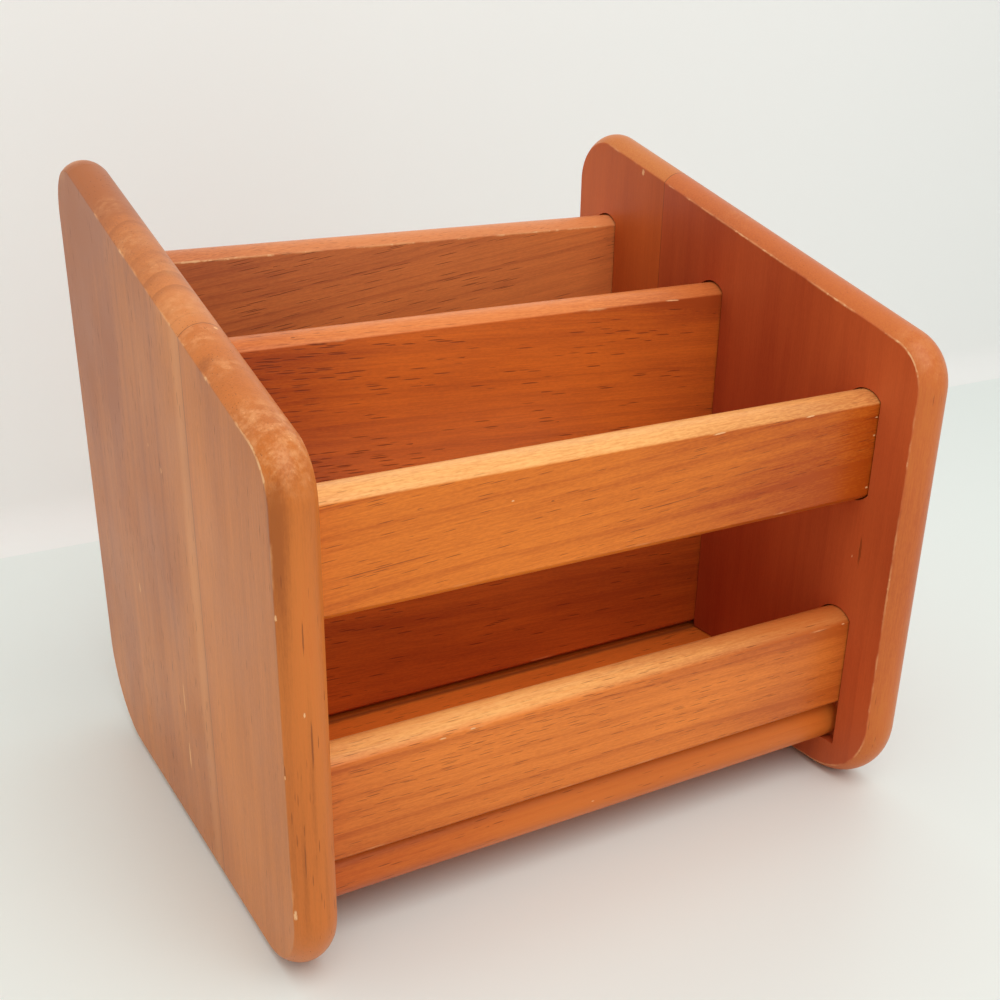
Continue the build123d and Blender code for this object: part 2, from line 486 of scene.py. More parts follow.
def handled_crown_group():
    """The mottled pale spots where hands have rubbed through the stain on a rounded edge."""
    nodes, given, results = new_group(
        "Handled crown", {"Place": "place", "Handled": "number", "Seed": "number"},
        {"Wear": "number"})
    place = seeded(nodes, given["Place"], given["Seed"])
    clouds = lumpy_noise(nodes, place, RUBBED_CLOUD_SIZE, detail=3.0, roughness=0.65)
    cloudy = nodes.math("MULTIPLY", nodes.fade(clouds, *RUBBED_CLOUD), given["Handled"])
    specks = lumpy_noise(nodes, place, RUBBED_SPECK_SIZE, detail=1.0)
    speckled = nodes.math("MULTIPLY", nodes.fade(specks, *RUBBED_SPECK), cloudy)
    nodes.feed(results["Wear"], nodes.math("MULTIPLY_ADD", cloudy, 0.8, speckled))
    return nodes.tree


def mark_group():
    """One ragged mark, such as a chip in the lacquer or a mineral streak. Its place is counted
    from its centre, with Z along the grain."""
    nodes, given, results = new_group(
        "Single mark",
        {"Place": "place", "Width": "number", "Length": "number", "Softness": "number",
         "Raggedness": "number"},
        {"Mask": "number"})
    size = nodes.joined(given["Width"], given["Width"], given["Length"])
    reach = nodes.vector(
        "LENGTH", nodes.vector("DIVIDE", nodes.scaled(given["Place"], 2.0), size))
    ragged = nodes.noise(
        nodes.scaled(nodes.vector("DIVIDE", given["Place"], size), 4.0), detail=2.0)
    ragged = nodes.math("MULTIPLY", nodes.math("SUBTRACT", ragged, 0.5), given["Raggedness"])
    outside = nodes.math("ADD", 1.0, given["Softness"])
    inside = nodes.math("SUBTRACT", 1.0, given["Softness"])
    nodes.feed(results["Mask"], nodes.fade(nodes.math("ADD", reach, ragged), outside, inside))
    return nodes.tree


def glue_and_shade_line_group():
    """The dark line where two pieces are glued together; the same line paints shade at the
    divider's foot.
    """
    nodes, given, results = new_group(
        "Glue and shade line", {"Place": "place", "Seam Distance": "number", "Width": "number"},
        {"Line": "number"})
    uneven = lumpy_noise(nodes, given["Place"], GLUE_AND_SHADE_LINE_LUMP_SIZE, detail=2.0)
    width = nodes.math("MULTIPLY", given["Width"], nodes.math("ADD", uneven, 0.5))
    nodes.feed(results["Line"], nodes.fade(given["Seam Distance"], width, 0.0))
    return nodes.tree


def lacquer_group():
    """Satin lacquer over stained wood: its gloss and the relief that shows through it."""
    nodes, given, results = new_group(
        "Satin lacquer",
        {"Place": "place", "Pore": "number", "Fibre": "number", "Bare": "number",
         "Gloss Roughness": "number"},
        {"Roughness": "number", "Height": "number"},
    )
    gloss_patch = lumpy_noise(nodes, given["Place"], GLOSS_PATCH_SIZE, detail=2.0)
    roughness = nodes.total(
        nodes.math("MULTIPLY_ADD", gloss_patch, GLOSS_PATCH_ROUGHNESS, given["Gloss Roughness"]),
        nodes.math("MULTIPLY", given["Pore"], PORE_ROUGHNESS),
        nodes.math("MULTIPLY", given["Bare"], BARE_ROUGHNESS),
    )
    nodes.feed(
        results["Roughness"], nodes.math("SUBTRACT", roughness, GLOSS_PATCH_ROUGHNESS / 2))
    orange_peel = lumpy_noise(nodes, given["Place"], ORANGE_PEEL_SIZE)
    height = nodes.total(
        nodes.math("MULTIPLY", orange_peel, ORANGE_PEEL_RELIEF),
        nodes.math("MULTIPLY", given["Fibre"], FIBRE_RELIEF),
        nodes.math("MULTIPLY", given["Pore"], PORE_RELIEF),
        nodes.math("MULTIPLY", given["Bare"], BARE_RELIEF),
    )
    nodes.feed(results["Height"], height)
    return nodes.tree


SAWN_GRAIN = sawn_grain_group()
OPEN_PORES = open_pores_group()
WOOD_STAIN = stain_group()
PANEL_EDGE = panel_edge_group()
BOARD_EDGE = board_edge_group()
RUBBED_ARRIS = rubbed_arris_group()
HANDLED_CROWN = handled_crown_group()
SINGLE_MARK = mark_group()
GLUE_AND_SHADE_LINE_NODES = glue_and_shade_line_group()
SATIN_LACQUER = lacquer_group()


# --- Materials --------------------------------------------------------------------------------

def one_mark(nodes, place, grain_turn, spot, softness, raggedness):
    """The mask of one mark or patch, turned so that it follows the grain."""
    from_centre = nodes.add("ShaderNodeMapping", vector_type="TEXTURE")
    nodes.feed_all(from_centre, {
        "Vector": place, "Location": spot.centre, "Rotation": grain_turn})
    return nodes.use(
        SINGLE_MARK, Place=from_centre.outputs["Vector"], Width=spot.width, Length=spot.length,
        Softness=softness, Raggedness=raggedness)["Mask"]


def all_marks(nodes, place, grain_turn, marks, softness=0.25, raggedness=1.2):
    """The mask of all the clear-edged marks of one kind."""
    mask = 0.0
    for spot in marks:
        spot_mask = one_mark(nodes, place, grain_turn, spot, softness, raggedness)
        mask = nodes.math("MAXIMUM", mask, spot_mask)
    return mask


def soft_patches(nodes, place, grain_turn, patches, softness=0.85, raggedness=0.4):
    """What soft-edged patches of the stave add up to."""
    total = 0.0
    for spot in patches:
        spot_mask = one_mark(nodes, place, grain_turn, spot, softness, raggedness)
        total = nodes.math("MULTIPLY_ADD", spot_mask, spot.amount, total)
    return total


def stain_on_grain(nodes, grain, figure, stain, uptake_and_shade):
    """The stain's colour over the sawn grain."""
    return nodes.use(
        WOOD_STAIN, Late_Wood=grain["Late Wood"], Streak=grain["Streak"], Fibre=grain["Fibre"],
        Patch=grain["Patch"], Ring_Uptake=figure.rings, Streak_Uptake=figure.streaks,
        Fibre_Uptake=figure.fibres, Patch_Uptake=figure.patches,
        Extra_Uptake=uptake_and_shade, Light_Stain=stain.light, Dark_Stain=stain.dark)["Colour"]


def crown_cover(nodes, on_crown, share, uptake_and_shade, fibre):
    """How far the crown's tone, partly a painted highlight, covers the stain: less over dark
    patches and fibres.
    """
    cover = nodes.math("MULTIPLY_ADD", uptake_and_shade, -CROWN_YIELDS_TO_PATCHES, share)
    over_fibres = nodes.math("MULTIPLY_ADD", fibre, -CROWN_YIELDS_TO_FIBRES, 1.2)
    cover = nodes.math("MULTIPLY", cover, over_fibres)
    return nodes.math("MULTIPLY", on_crown, cover)


def add_glue_and_shade_line(nodes, place, colour, glue_and_shade_plane, width):
    """A colour with a dark line along a plane: where a stave is glued to its neighbour, and
    painted shade at the divider's foot.
    """
    reach = nodes.vector("DOT_PRODUCT", place, glue_and_shade_plane.axis)
    from_plane = nodes.math("SUBTRACT", reach, glue_and_shade_plane.offset)
    line = nodes.use(
        GLUE_AND_SHADE_LINE_NODES, Place=place, Seam_Distance=nodes.math("ABSOLUTE", from_plane),
        Width=width)["Line"]
    return nodes.blend(nodes.math("MULTIPLY", line, GLUE_AND_SHADE_LINE_SHARE), colour, GLUE_AND_SHADE_LINE_COLOUR)


def handling_wear(nodes, place, edges, on_crown, handling, rub_width, rub_share, seed):
    """Where the stain is rubbed pale, and where it is rubbed down to bare wood."""
    arris = nodes.use(
        RUBBED_ARRIS, Place=place, Arris_Distance=edges["Arris Distance"], Width=rub_width,
        Share=nodes.math("ADD", handling, rub_share), Seed=seed)
    mottle = nodes.use(HANDLED_CROWN, Place=place, Handled=handling, Seed=seed)["Wear"]
    rubbed = nodes.math("MAXIMUM", arris["Rub"], nodes.math("MULTIPLY", mottle, on_crown))
    return rubbed, arris["Bare"]


def lacquer(nodes, shader, place, colour, pore, fibre, bare):
    """Feeds a stave's shader with its colour under satin lacquer."""
    surface = nodes.use(
        SATIN_LACQUER, Place=place, Pore=pore, Fibre=fibre, Bare=bare,
        Gloss_Roughness=LACQUER_ROUGHNESS)
    relief = nodes.add("ShaderNodeBump")
    nodes.feed_all(relief, {
        "Height": surface["Height"], "Distance": RELIEF_HEIGHT, "Strength": 1.0})
    nodes.feed_all(shader, {
        "Base Color": colour, "Roughness": surface["Roughness"],
        "Normal": relief.outputs["Normal"], "IOR": LACQUER_IOR,
        "Specular IOR Level": LACQUER_SPECULAR})


def stained_wood(name, grain_turn, log, figure, pores, stain, crown, edge, glue_and_shade_plane=None,
                 glue_and_shade_line_width=0.35 * MM, patches=(), sapwood=(), open_grain=(), handled=(),
                 chips=(), dark_streaks=(), end_rings=0.0, crown_blend=1.0 * MM,
                 rub_width=0.7 * MM, rub_share=0.4):
    """A lacquered stave. edge(nodes, place) says how its edges lie. The crown's tone, partly a
    painted highlight, sets in over crown_blend, and end_rings says how plainly the growth rings
    show on the crown. The dark line's plane is where a side panel's stave is glued to its
    neighbour, and its width is given with it; on the divider and the base that line is painted
    shade at the divider's foot.
    patches, sapwood, open_grain and handled are lists of patches, and chips and dark_streaks are
    lists of marks."""
    material = bpy.data.materials.new(name)
    material.use_nodes = True
    nodes = Nodes(material.node_tree)
    shader = material.node_tree.nodes["Principled BSDF"]
    place = nodes.add("ShaderNodeTexCoord").outputs["Object"]
    in_log = nodes.add("ShaderNodeMapping", vector_type="TEXTURE")
    nodes.feed_all(in_log, {"Vector": place, "Location": log.heart, "Rotation": grain_turn})
    log_place = in_log.outputs["Vector"]

    grain = nodes.use(
        SAWN_GRAIN, Log_Place=log_place, Ring_Spacing=log.ring_spacing, Wander=log.wander,
        Seed=log.seed)
    pore = nodes.use(
        OPEN_PORES, Log_Place=log_place, Spacing=pores.spacing, Length=pores.length,
        Fineness=pores.fineness, Share=pores.share,
        Opened=soft_patches(nodes, place, grain_turn, open_grain), Seed=log.seed)["Pore"]
    uptake_and_shade = soft_patches(nodes, place, grain_turn, patches)
    colour = stain_on_grain(nodes, grain, figure, stain, uptake_and_shade)
    pale = soft_patches(nodes, place, grain_turn, sapwood, softness=0.45, raggedness=0.5)
    colour = nodes.blend(pale, colour, SAPWOOD_COLOUR)

    edges = edge(nodes, place)
    on_crown = nodes.fade(
        edges["Past Arris"], -ARRIS_EASED, crown_blend - ARRIS_EASED)
    cover = crown_cover(nodes, on_crown, crown.share, uptake_and_shade, grain["Fibre"])
    colour = nodes.blend(cover, colour, crown.colour)
    ring_lines = nodes.math("MULTIPLY", grain["Late Wood"], on_crown)
    colour = nodes.blend(nodes.math("MULTIPLY", ring_lines, end_rings), colour, stain.dark)
    not_hidden = nodes.math("SUBTRACT", 1.0, nodes.math("MULTIPLY", cover, CROWN_HIDES_PORES))
    seen_pore = nodes.math("MULTIPLY", pore, not_hidden)
    colour = nodes.blend(nodes.math("MULTIPLY", seen_pore, PORE_SHARE), colour, PORE_COLOUR)
    if glue_and_shade_plane:
        colour = add_glue_and_shade_line(nodes, place, colour, glue_and_shade_plane, glue_and_shade_line_width)

    handling = soft_patches(nodes, place, grain_turn, handled)
    rubbed, worn_bare = handling_wear(
        nodes, place, edges, on_crown, handling, rub_width, rub_share, log.seed)
    colour = nodes.blend(nodes.math("MULTIPLY", rubbed, RUB_SHARE), colour, RUBBED_COLOUR)
    streaked = all_marks(nodes, place, grain_turn, dark_streaks)
    colour = nodes.blend(
        nodes.math("MULTIPLY", streaked, DARK_STREAK_SHARE), colour, DARK_STREAK_COLOUR)
    bare = nodes.math("MAXIMUM", worn_bare, all_marks(nodes, place, grain_turn, chips))
    colour = nodes.blend(bare, colour, BARE_COLOUR)
    lacquer(nodes, shader, place, colour, pore, grain["Fibre"], bare)
    return material


def panel_edge(nodes, place):
    return nodes.use(PANEL_EDGE, Place=place)


def board_edge(names, to_crown):
    """How the edges lie on a board glued up from the named staves. Its long edges are crowned, and
    the one in the direction to_crown is handled most."""
    lows, highs = zip(*(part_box(name) for name in names))
    low = Vector(map(min, zip(*lows)))
    high = Vector(map(max, zip(*highs)))
    middle = (low + high) / 2
    half = (high - low) / 2 - BOARD_CROWN * Vector(map(abs, to_crown))

    def edge(nodes, place):
        return nodes.use(
            BOARD_EDGE, Place=place, Middle=tuple(middle), Half_Section=tuple(half),
            To_Crown=to_crown)

    return edge


UP = (0.0, 0.0, 1.0)
FORWARD = (0.0, -1.0, 0.0)

# Faces that patches and marks lie on, in millimetres like the places of the marks.
OUTER_LEFT = cad_box[0].x / MM
INNER_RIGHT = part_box("right_panel_front_stave")[0].x / MM
PANEL_FRONT = cad_box[0].y / MM
RAIL_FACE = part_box("upper_front_rail")[0].y / MM
DIVIDER_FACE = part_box("divider_board")[0].y / MM
BACK_BOARD_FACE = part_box("back_board_upper_stave")[0].y / MM


def upright_grain(lean):
    """The turn of a log that stands up in a side panel, leaning forward by some degrees."""
    return (math.radians(lean), 0.0, 0.0)


def level_grain(lean):
    """The turn of a log that lies across the rack, rising to the right by some degrees."""
    return (0.0, math.radians(90 - lean), 0.0)


def mark(x, y, z, width, length):
    """A mark given in millimetres: its centre, and its size across and along the grain."""
    return Mark((x * MM, y * MM, z * MM), width * MM, length * MM)


def patch(x, y, z, width, length, amount):
    """A soft patch given in millimetres, like a mark, and its amount."""
    return Patch((x * MM, y * MM, z * MM), width * MM, length * MM, amount)


def side_panel_woods():
    left_seam = Seam((0, 1, 0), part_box("left_panel_front_stave")[1].y)
    right_seam = Seam((0, 1, 0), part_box("right_panel_front_stave")[1].y)
    smooth_pores = Pores(spacing=0.9 * MM, length=12 * MM, fineness=0.24, share=0.7)
    closed_pores = Pores(spacing=0.9 * MM, length=12 * MM, fineness=0.24, share=0.3)
    return {
        "left_panel_rear_stave": dict(
            glue_and_shade_plane=left_seam,
            log=Log(heart=(-0.121, -0.25, 0), lean=0.5, ring_spacing=8.0 * MM, wander=16 * MM,
                    seed=1.0),
            figure=Figure(rings=0.10, streaks=0.26, fibres=0.28, patches=0.45),
            pores=smooth_pores,
            stain=Stain(light=(0.70, 0.225, 0.037, 1), dark=(0.43, 0.115, 0.020, 1)),
            crown=Crown((0.66, 0.215, 0.056, 1), share=0.45),
            end_rings=0.65,
            sapwood=[patch(OUTER_LEFT, -32.5, 120, 9, 330, 0.18),
                     patch(-124, 97, 242, 16, 16, 0.35)],
            # The second patch, darker over the top rear of the outer face, is partly a darker
            # stain and partly painted shade.
            patches=[patch(OUTER_LEFT, -32, 120, 9, 320, -0.2),
                     patch(OUTER_LEFT, 90, 220, 120, 260, 0.4),
                     patch(OUTER_LEFT, 45, 170, 22, 150, 0.15),
                     patch(OUTER_LEFT, 20, 110, 10, 130, 0.2), patch(-123, 70, 236, 44, 40, 0.9),
                     patch(-123, -22, 210, 22, 30, -0.5)],
            handled=[patch(-127, 50, 232, 12, 24, 0.45), patch(-127, 22, 222, 12, 20, 0.6),
                     patch(-123, 0, 218, 12, 20, 0.45), patch(-125, -24, 210, 14, 22, 0.6)],
            chips=[mark(OUTER_LEFT, -6, 37, 1.3, 11), mark(OUTER_LEFT, -5.3, 61, 0.8, 13),
                   mark(OUTER_LEFT, 43.8, 87.2, 0.9, 4), mark(OUTER_LEFT, -3.9, 149.8, 0.7, 2),
                   mark(OUTER_LEFT, 9.7, 155.4, 0.5, 1.4)],
            dark_streaks=[mark(OUTER_LEFT, 6.8, 69, 0.7, 5), mark(OUTER_LEFT, 35.2, 55.5, 0.6, 6)],
            rub_share=0.4),
        "left_panel_front_stave": dict(
            glue_and_shade_plane=left_seam,
            log=Log(heart=(-0.02, -0.085, 0), lean=0.8, ring_spacing=4.4 * MM, wander=8 * MM,
                    seed=2.0),
            figure=Figure(rings=0.06, streaks=0.15, fibres=0.25, patches=0.25),
            pores=smooth_pores,
            stain=Stain(light=(0.74, 0.235, 0.040, 1), dark=(0.42, 0.11, 0.018, 1)),
            crown=Crown((0.62, 0.155, 0.026, 1), share=0.5),
            patches=[patch(OUTER_LEFT, -75, 200, 70, 60, 0.3),
                     patch(OUTER_LEFT, -75, 165, 6, 70, -0.2),
                     patch(-130.5, -110, 158, 6, 80, 0.7),
                     patch(OUTER_LEFT, -110, 95, 2.8, 110, 0.6),
                     patch(-124, PANEL_FRONT, 165, 16, 40, 0.3),
                     patch(-123, PANEL_FRONT, 140, 5, 60, -0.3),
                     patch(-127.5, PANEL_FRONT, 60, 2, 90, 0.4),
                     patch(-123.4, PANEL_FRONT, 90, 1.6, 60, 0.4),
                     patch(-120, PANEL_FRONT, 50, 1.6, 80, 0.3),
                     patch(-117.5, PANEL_FRONT, 130, 3, 120, 0.3),
                     patch(-129.5, -57, 199, 5, 14, 0.4)],
            handled=[patch(-126, -43, 204, 10, 12, 0.9), patch(-125, -62, 198, 9, 18, 0.8),
                     patch(-124, -92, 189, 20, 30, 1.0), patch(-124, -104, 180, 16, 14, 0.8)],
            chips=[mark(OUTER_LEFT, -107.8, 136.7, 0.9, 2), mark(-124.9, -110.8, 105.4, 0.6, 1.6),
                   mark(-130.7, -108.3, 33.4, 1.3, 4), mark(-129.9, -109.6, 36.0, 0.6, 1.0),
                   mark(OUTER_LEFT, -107.6, 84, 0.6, 1.4), mark(-119.3, -39.6, 204.7, 1.4, 1.6)],
            dark_streaks=[mark(-127.4, -110.6, 92, 0.6, 12), mark(-128.1, -110.4, 79, 0.5, 16),
                          mark(-127.0, -110.6, 57, 0.6, 20),
                          mark(-123.0, PANEL_FRONT, 95, 0.6, 16),
                          mark(-124.2, PANEL_FRONT, 130.5, 0.5, 10),
                          mark(-130.3, -109.5, 104, 0.6, 8), mark(-128.3, -110.4, 152, 0.4, 14)],
            rub_share=0.5),
        "right_panel_front_stave": dict(
            glue_and_shade_plane=right_seam,
            log=Log(heart=(0.05, -0.02, 0), lean=0.0, ring_spacing=6.5 * MM, wander=16 * MM,
                    seed=3.0),
            figure=Figure(rings=0.11, streaks=0.14, fibres=0.18, patches=0.3),
            pores=closed_pores,
            stain=Stain(light=(0.60, 0.118, 0.031, 1), dark=(0.36, 0.049, 0.015, 1)),
            crown=Crown((0.63, 0.175, 0.034, 1), share=0.7),
            # The first patch is painted shade on the inner face, low down behind the rails.
            patches=[patch(104, 10, 80, 110, 240, 0.5),
                     patch(INNER_RIGHT, -97, 150, 30, 120, -0.2),
                     patch(124, PANEL_FRONT, 110, 20, 60, 0.25),
                     patch(124, -105, 30, 20, 40, -0.3)],
            handled=[patch(124, -98, 178, 20, 20, 0.5), patch(124, 0, 205, 14, 90, 0.3)],
            chips=[mark(INNER_RIGHT, -88, 99, 0.4, 1), mark(130.8, -103, 170.8, 1.0, 4),
                   mark(130.8, -107, 108.9, 0.9, 5)],
            dark_streaks=[mark(INNER_RIGHT, -91.6, 102, 1.1, 11)],
            rub_width=0.6 * MM,
            rub_share=0.75),
        "right_panel_rear_stave": dict(
            glue_and_shade_plane=right_seam,
            log=Log(heart=(0.06, 0.06, 0), lean=0.0, ring_spacing=6.5 * MM, wander=16 * MM,
                    seed=4.0),
            figure=Figure(rings=0.11, streaks=0.14, fibres=0.18, patches=0.3),
            pores=closed_pores,
            stain=Stain(light=(0.63, 0.132, 0.026, 1), dark=(0.40, 0.066, 0.013, 1)),
            crown=Crown((0.64, 0.22, 0.050, 1), share=0.75),
            chips=[mark(116.3, 59.7, 230.2, 1.6, 3)],
            rub_share=0.55),
    }


def rail_woods():
    return {
        "upper_front_rail": dict(
            log=Log(heart=(0, -0.03, 0.09), lean=3.5, ring_spacing=3.6 * MM, wander=9 * MM,
                    seed=5.0),
            figure=Figure(rings=0.27, streaks=0.22, fibres=0.28, patches=0.22),
            pores=Pores(spacing=0.55 * MM, length=13 * MM, fineness=0.3, share=0.4),
            stain=Stain(light=(0.87, 0.243, 0.025, 1), dark=(0.43, 0.068, 0.004, 1)),
            # The pale crown is partly thinner stain and partly a painted highlight.
            crown=Crown((0.98, 0.50, 0.165, 1), share=0.85),
            open_grain=[patch(40, RAIL_FACE, 146, 18, 90, 0.35),
                        patch(-90, RAIL_FACE, 140, 20, 60, 0.3)],
            # The first patch darkens the right end of the face: partly a redder stain and partly
            # painted shade beside the right panel.
            patches=[patch(126, RAIL_FACE, 138, 120, 150, 0.5),
                     patch(70, RAIL_FACE, 163, 12, 90, 0.15)],
            chips=[mark(82, RAIL_FACE, 161, 0.5, 4), mark(40.5, RAIL_FACE, 160.8, 0.5, 5),
                   mark(115.4, RAIL_FACE, 156, 0.5, 1.2), mark(115.4, RAIL_FACE, 149, 0.6, 1.0),
                   mark(115.2, RAIL_FACE, 128.5, 0.7, 1.2),
                   mark(-42.6, RAIL_FACE, 150.9, 0.5, 1.0)],
            dark_streaks=[mark(-27.4, RAIL_FACE, 148.2, 0.5, 1.2),
                          mark(-89, RAIL_FACE, 137.4, 0.3, 34),
                          mark(22, RAIL_FACE, 138.8, 0.3, 26),
                          mark(56, RAIL_FACE, 144.5, 0.3, 17)],
            rub_width=0.6 * MM),
        "lower_front_rail": dict(
            log=Log(heart=(0, -0.02, 0.02), lean=-0.5, ring_spacing=2.8 * MM, wander=6 * MM,
                    seed=6.0),
            figure=Figure(rings=0.3, streaks=0.2, fibres=0.28, patches=0.2),
            pores=Pores(spacing=0.55 * MM, length=12 * MM, fineness=0.3, share=0.6),
            stain=Stain(light=(0.90, 0.265, 0.042, 1), dark=(0.52, 0.11, 0.015, 1)),
            # The pale crown is partly thinner stain and partly a painted highlight.
            crown=Crown((0.98, 0.50, 0.16, 1), share=0.85),
            open_grain=[patch(-55, -88, 70, 40, 170, 0.7)],
            # The first patch is painted shade on the right half of the crown, under the upper rail
            # and beside the right panel. The last is painted shade on the rail's bottom edge, over
            # the gap above the base. The others make the face darker at both ends and along its
            # bottom, and a little lighter in the middle.
            patches=[patch(105, -82, 80, 26, 170, 1.0), patch(-110, RAIL_FACE, 55, 70, 60, 0.3),
                     patch(112, RAIL_FACE, 50, 40, 90, 0.4),
                     patch(0, RAIL_FACE, 50, 40, 120, -0.1),
                     patch(0, RAIL_FACE, 36, 22, 340, 0.25), patch(0, -87.3, 33, 4, 340, 0.9)],
            chips=[mark(-68.2, RAIL_FACE, 70.9, 0.5, 2.5), mark(-56.6, RAIL_FACE, 71.5, 0.5, 2),
                   mark(113, RAIL_FACE, 71.5, 0.5, 1.5)],
            crown_blend=3.0 * MM,
            rub_width=0.6 * MM),
    }


def board_woods():
    return {
        "divider_board": dict(
            # Painted shade: a dark band along the divider's foot, where it stands on the base.
            glue_and_shade_plane=Seam((0, 0, 1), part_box("divider_board")[0].z),
            glue_and_shade_line_width=4.5 * MM,
            log=Log(heart=(0, 0.10, 0.05), lean=-3.0, ring_spacing=4.4 * MM, wander=10 * MM,
                    seed=7.0),
            figure=Figure(rings=0.2, streaks=0.25, fibres=0.28, patches=0.35),
            pores=Pores(spacing=0.68 * MM, length=11 * MM, fineness=0.43, share=0.22),
            stain=Stain(light=(0.79, 0.178, 0.021, 1), dark=(0.42, 0.074, 0.014, 1)),
            crown=Crown((0.84, 0.275, 0.075, 1), share=0.8),
            open_grain=[patch(-95, DIVIDER_FACE, 178, 26, 100, 0.65),
                        patch(-90, DIVIDER_FACE, 130, 28, 130, 0.85)],
            # The first patch is painted shade on the left of the face, beside the left panel; the
            # third is painted shade on the low part of the face, behind the rails.
            patches=[patch(-100, DIVIDER_FACE, 165, 100, 70, 0.4), patch(108, 4, 186, 20, 70, 0.5),
                     patch(20, DIVIDER_FACE, 58, 60, 320, 0.25)],
            chips=[mark(90, DIVIDER_FACE, 186, 0.5, 7)],
            dark_streaks=[mark(-77, 3.7, 188.4, 0.6, 2)]),
        "back_board_lower_stave": dict(
            log=Log(heart=(0, 0.15, 0.0), lean=1.0, ring_spacing=4.4 * MM, wander=10 * MM,
                    seed=8.0),
            figure=Figure(rings=0.25, streaks=0.25, fibres=0.28, patches=0.3),
            pores=Pores(spacing=0.8 * MM, length=12 * MM, fineness=0.28, share=1.0),
            stain=Stain(light=(0.76, 0.19, 0.036, 1), dark=(0.44, 0.085, 0.015, 1)),
            crown=Crown((0.77, 0.28, 0.105, 1), share=0.8)),
        "back_board_upper_stave": dict(
            log=Log(heart=(0, 0.14, 0.12), lean=7.0, ring_spacing=3.2 * MM, wander=9 * MM,
                    seed=9.0),
            figure=Figure(rings=0.35, streaks=0.25, fibres=0.28, patches=0.25),
            pores=Pores(spacing=0.55 * MM, length=20 * MM, fineness=0.3, share=0.6),
            stain=Stain(light=(0.80, 0.25, 0.066, 1), dark=(0.46, 0.12, 0.042, 1)),
            crown=Crown((0.77, 0.28, 0.105, 1), share=0.8),
            open_grain=[patch(-60, BACK_BOARD_FACE, 190, 50, 150, 0.5)],
            # Painted shade on the left of the face and painted light on the right.
            patches=[patch(-90, BACK_BOARD_FACE, 190, 60, 80, 0.4),
                     patch(90, BACK_BOARD_FACE, 180, 40, 90, -0.1)],
            rub_share=0.8),
    }


def base_woods():
    return {
        "base_front_stave": dict(
            # Painted shade: a dark band on the base just in front of the divider's foot.
            glue_and_shade_plane=Seam((0, 1, 0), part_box("divider_board")[0].y),
            glue_and_shade_line_width=2.6 * MM,
            log=Log(heart=(0, -0.03, -0.06), lean=0.5, ring_spacing=4.4 * MM, wander=10 * MM,
                    seed=10.0),
            figure=Figure(rings=0.25, streaks=0.25, fibres=0.28, patches=0.3),
            pores=Pores(spacing=0.8 * MM, length=12 * MM, fineness=0.28, share=0.8),
            stain=Stain(light=(0.90, 0.225, 0.030, 1), dark=(0.54, 0.10, 0.013, 1)),
            crown=Crown((0.60, 0.158, 0.024, 1), share=0.6),
            # The second patch is painted light: a lighter stretch on the top between the lower
            # rail and the divider.
            patches=[patch(-110, -88, 22, 26, 120, 0.5), patch(-10, -15, 31, 60, 130, -0.35)],
            chips=[mark(84.3, -88.2, 22.8, 0.6, 6), mark(-3.1, -88.4, 23.9, 0.5, 1.5)]),
        "base_rear_stave": dict(
            log=Log(heart=(0, 0.06, -0.05), lean=-0.5, ring_spacing=4.4 * MM, wander=10 * MM,
                    seed=11.0),
            figure=Figure(rings=0.25, streaks=0.25, fibres=0.28, patches=0.3),
            pores=Pores(spacing=0.8 * MM, length=12 * MM, fineness=0.28, share=0.8),
            stain=Stain(light=(0.90, 0.225, 0.030, 1), dark=(0.54, 0.10, 0.013, 1)),
            crown=Crown((0.60, 0.15, 0.026, 1), share=0.6)),
    }


def finish_staves(looks, grain_turn, edge_of):
    """Gives the staves their wood. grain_turn(lean) and edge_of(node) say how each one lies."""
    for node, look in looks.items():
        wood = stained_wood(
            node + "_wood", grain_turn(look["log"].lean), edge=edge_of(node), **look)
        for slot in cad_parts[node].material_slots:
            slot.material = wood


def finish_rack():
    back_board = ["back_board_lower_stave", "back_board_upper_stave"]
    base = ["base_front_stave", "base_rear_stave"]

    def upright_board(node):
        return board_edge(back_board if node in back_board else [node], UP)

    finish_staves(side_panel_woods(), upright_grain, lambda node: panel_edge)
    finish_staves(rail_woods(), level_grain, upright_board)
    finish_staves(board_woods(), level_grain, upright_board)
    finish_staves(base_woods(), level_grain, lambda node: board_edge(base, FORWARD))


# --- The table, the wall, the light and the camera ----------------------------------------------

WALL_BEHIND = 350 * MM
COVE_RADIUS = 25 * MM
COVE_STEPS = 8
STAGE_HALF_WIDTH = 1.6
TABLE_FRONT = -1.6
WALL_HEIGHT = 1.6
TABLE_COLOUR = (0.85, 0.91, 0.89, 1)
TABLE_ROUGHNESS = 0.38
WALL_COLOUR = (0.93, 0.94, 0.93, 1)
WALL_ROUGHNESS = 0.9

ROOM_COLOUR = (1.0, 0.985, 0.955, 1)
ROOM_STRENGTH = 0.67
WINDOW_COLOUR = (1.0, 0.97, 0.93)
WINDOW_WATTS = 7.5
WINDOW_SIZE = 1.0
WINDOW_PLACE = (0.0, -0.7, 1.2)
WINDOW_AIM = (0, 0, 0.1)

# Millimetres for the sensor and the lens, parts of the picture's width for the shift, degrees for
# the angles.
SENSOR_WIDTH = 36
LENS = 44.895
SHIFT = (0.065142, 0.082425)
EYE = (-0.24093, -0.40846, 0.28678)
EYE_TURN = -28.163
EYE_TILT = -23.711
EYE_ROLL = -0.3145


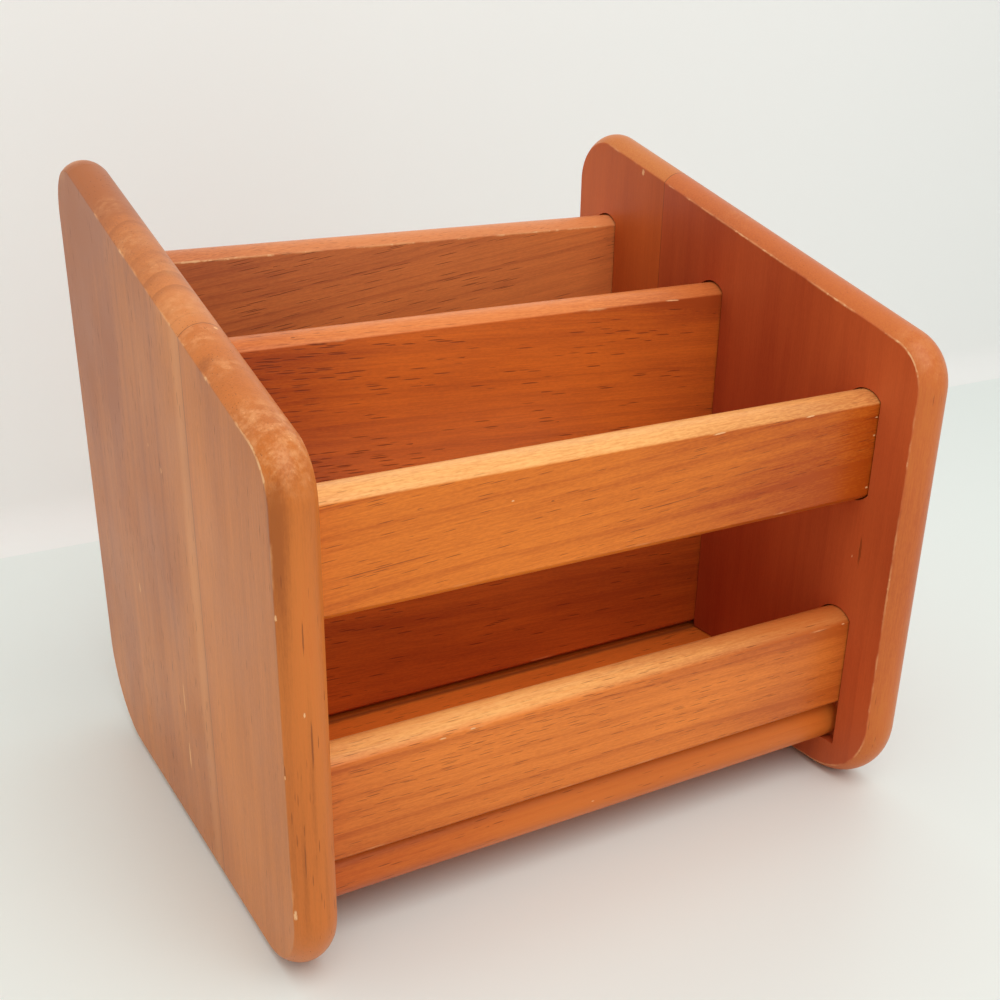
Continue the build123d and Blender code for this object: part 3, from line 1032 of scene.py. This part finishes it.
def one_sided(nodes, shader):
    """Shows a shader on the front of a surface only, so that the wall never hides the rack."""
    see_through = nodes.add("ShaderNodeBsdfTransparent")
    sides = nodes.add("ShaderNodeMixShader")
    backfacing = nodes.add("ShaderNodeNewGeometry").outputs["Backfacing"]
    nodes.feed(sides.inputs["Fac"], backfacing)
    nodes.feed(sides.inputs[1], shader.outputs["BSDF"])
    nodes.feed(sides.inputs[2], see_through.outputs["BSDF"])
    return sides.outputs["Shader"]


def stage_material(name, colour, roughness):
    material = bpy.data.materials.new(name)
    material.use_nodes = True
    nodes = Nodes(material.node_tree)
    shader = material.node_tree.nodes["Principled BSDF"]
    nodes.feed_all(shader, {"Base Color": colour, "Roughness": roughness})
    output = material.node_tree.nodes["Material Output"]
    nodes.feed(output.inputs["Surface"], one_sided(nodes, shader))
    return material


def stage_sheet(name, profile, material):
    """A sheet of the stage: a profile in the Y-Z plane, run across X. Its front is its left."""
    points = [(x, y, z) for y, z in profile for x in (-STAGE_HALF_WIDTH, STAGE_HALF_WIDTH)]
    faces = [(i, i + 1, i + 3, i + 2) for i in range(0, len(points) - 2, 2)]
    mesh = bpy.data.meshes.new(name)
    mesh.from_pydata(points, [], faces)
    mesh.polygons.foreach_set("use_smooth", [True] * len(faces))
    mesh.materials.append(material)
    sheet = bpy.data.objects.new(name, mesh)
    bpy.context.scene.collection.objects.link(sheet)


def make_stage():
    bend_y = WALL_BEHIND - COVE_RADIUS
    table_profile = [(TABLE_FRONT, 0.0), (bend_y, 0.0)]
    bends = [math.pi / 2 * step / COVE_STEPS for step in range(COVE_STEPS + 1)]
    wall_profile = [
        (bend_y + COVE_RADIUS * math.sin(bend), COVE_RADIUS * (1 - math.cos(bend)))
        for bend in bends
    ]
    wall_profile.append((WALL_BEHIND, WALL_HEIGHT))
    stage_sheet(
        "table_top", table_profile, stage_material("Table top", TABLE_COLOUR, TABLE_ROUGHNESS))
    stage_sheet("wall", wall_profile, stage_material("Wall", WALL_COLOUR, WALL_ROUGHNESS))


def make_lights():
    world = bpy.data.worlds.new("Room")
    bpy.context.scene.world = world
    world.use_nodes = True
    background = world.node_tree.nodes["Background"]
    background.inputs["Color"].default_value = ROOM_COLOUR
    background.inputs["Strength"].default_value = ROOM_STRENGTH
    lamp = bpy.data.lights.new("Window", "AREA")
    lamp.shape = "RECTANGLE"
    lamp.size = WINDOW_SIZE
    lamp.size_y = WINDOW_SIZE
    lamp.energy = WINDOW_WATTS
    lamp.color = WINDOW_COLOUR
    window = bpy.data.objects.new("Window", lamp)
    window.location = WINDOW_PLACE
    aim = Vector(WINDOW_AIM) - window.location
    window.rotation_euler = aim.to_track_quat("-Z", "Y").to_euler()
    bpy.context.scene.collection.objects.link(window)


def make_camera():
    camera = bpy.data.cameras.new("Camera")
    camera.sensor_fit = "HORIZONTAL"
    camera.sensor_width = SENSOR_WIDTH
    camera.lens = LENS
    camera.shift_x, camera.shift_y = SHIFT
    eye = bpy.data.objects.new("Camera", camera)
    eye.matrix_world = (
        Matrix.Translation(EYE)
        @ Matrix.Rotation(math.radians(EYE_TURN), 4, "Z")
        @ Matrix.Rotation(math.radians(90) + math.radians(EYE_TILT), 4, "X")
        @ Matrix.Rotation(math.radians(EYE_ROLL), 4, "Z")
    )
    bpy.context.scene.collection.objects.link(eye)
    bpy.context.scene.camera = eye


finish_rack()
make_stage()
make_lights()
make_camera()
bpy.context.scene.view_settings.view_transform = "Standard"
